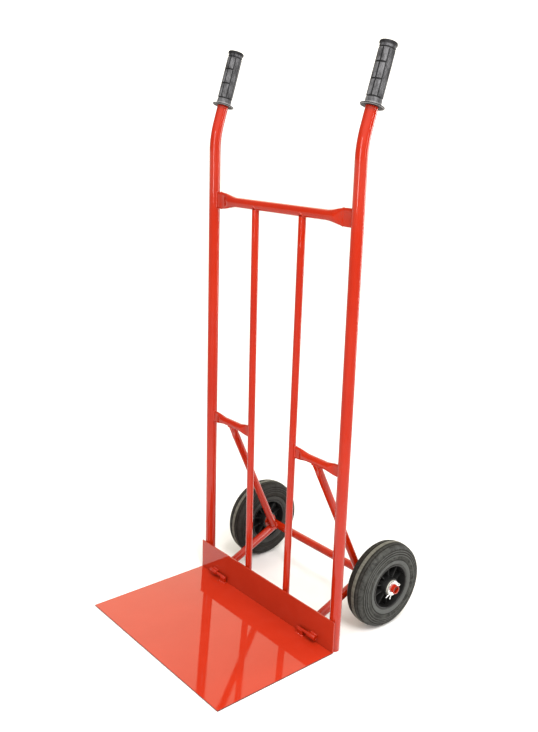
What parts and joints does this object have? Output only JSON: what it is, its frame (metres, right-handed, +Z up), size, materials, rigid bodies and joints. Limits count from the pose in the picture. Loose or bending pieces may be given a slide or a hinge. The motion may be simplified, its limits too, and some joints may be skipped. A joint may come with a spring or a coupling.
{
  "type": "hand truck",
  "caption": "Upright two-wheeled hand truck of welded steel tube, with bent-back handles with rubber grips, solid rubber tyres and a toe plate that folds up on hinges.",
  "frame": {"origin": "on the floor, under the middle of the truck's overall box", "axes": "+Z up, +X to the right as seen from the front, +Y to the rear, towards the wheels"},
  "size_m": [0.5192, 0.588, 1.2562],
  "materials": {
    "red_paint": "gloss red paint over steel",
    "zinc_plate": "bright zinc plate",
    "tyre_rubber": "solid grey-black rubber, dusty tread",
    "black_plastic": "moulded black plastic",
    "grip_rubber": "moulded grey-black rubber",
    "nylon": "natural nylon"
  },
  "bodies": {
    "frame": {"top_cross_tube": "red_paint", "axle_tube": "red_paint", "back_plate": "red_paint", "left_rail": "red_paint", "right_rail": "red_paint", "left_handle_grip": "grip_rubber", "right_handle_grip": "grip_rubber", "left_inner_bar": "red_paint", "right_inner_bar": "red_paint", "left_short_cross_tube": "red_paint", "right_short_cross_tube": "red_paint", "left_upper_strut": "red_paint", "right_upper_strut": "red_paint", "left_lower_strut": "red_paint", "right_lower_strut": "red_paint", "left_hinge_sleeve": "red_paint", "right_hinge_sleeve": "red_paint", "left_outer_washer": "zinc_plate", "right_outer_washer": "zinc_plate", "left_inner_washer": "red_paint", "right_inner_washer": "red_paint", "left_split_pin": "zinc_plate", "right_split_pin": "zinc_plate"},
    "toe_plate": {"toe_plate": "red_paint", "left_hinge_rod": "red_paint", "right_hinge_rod": "red_paint", "left_hinge_lug": "red_paint", "right_hinge_lug": "red_paint"},
    "left_wheel": {"left_tyre": "tyre_rubber", "left_wheel_rim": "black_plastic", "left_wheel_outer_bush": "nylon", "left_wheel_inner_bush": "nylon"},
    "right_wheel": {"right_tyre": "tyre_rubber", "right_wheel_rim": "black_plastic", "right_wheel_outer_bush": "nylon", "right_wheel_inner_bush": "nylon"}
  },
  "joints": [
    {"name": "toe_plate_fold", "type": "hinge", "parent": "frame", "child": "toe_plate", "pos_m": [0, 0.0095, 0.0165], "axis": [-1, 0, 0], "range_deg": [0, 94.3]},
    {"name": "left_wheel_spin", "type": "hinge", "parent": "frame", "child": "left_wheel", "pos_m": [-0.215, 0.194, 0.1], "axis": [1, 0, 0], "continuous": true},
    {"name": "right_wheel_spin", "type": "hinge", "parent": "frame", "child": "right_wheel", "pos_m": [0.215, 0.194, 0.1], "axis": [1, 0, 0], "continuous": true}
  ]
}
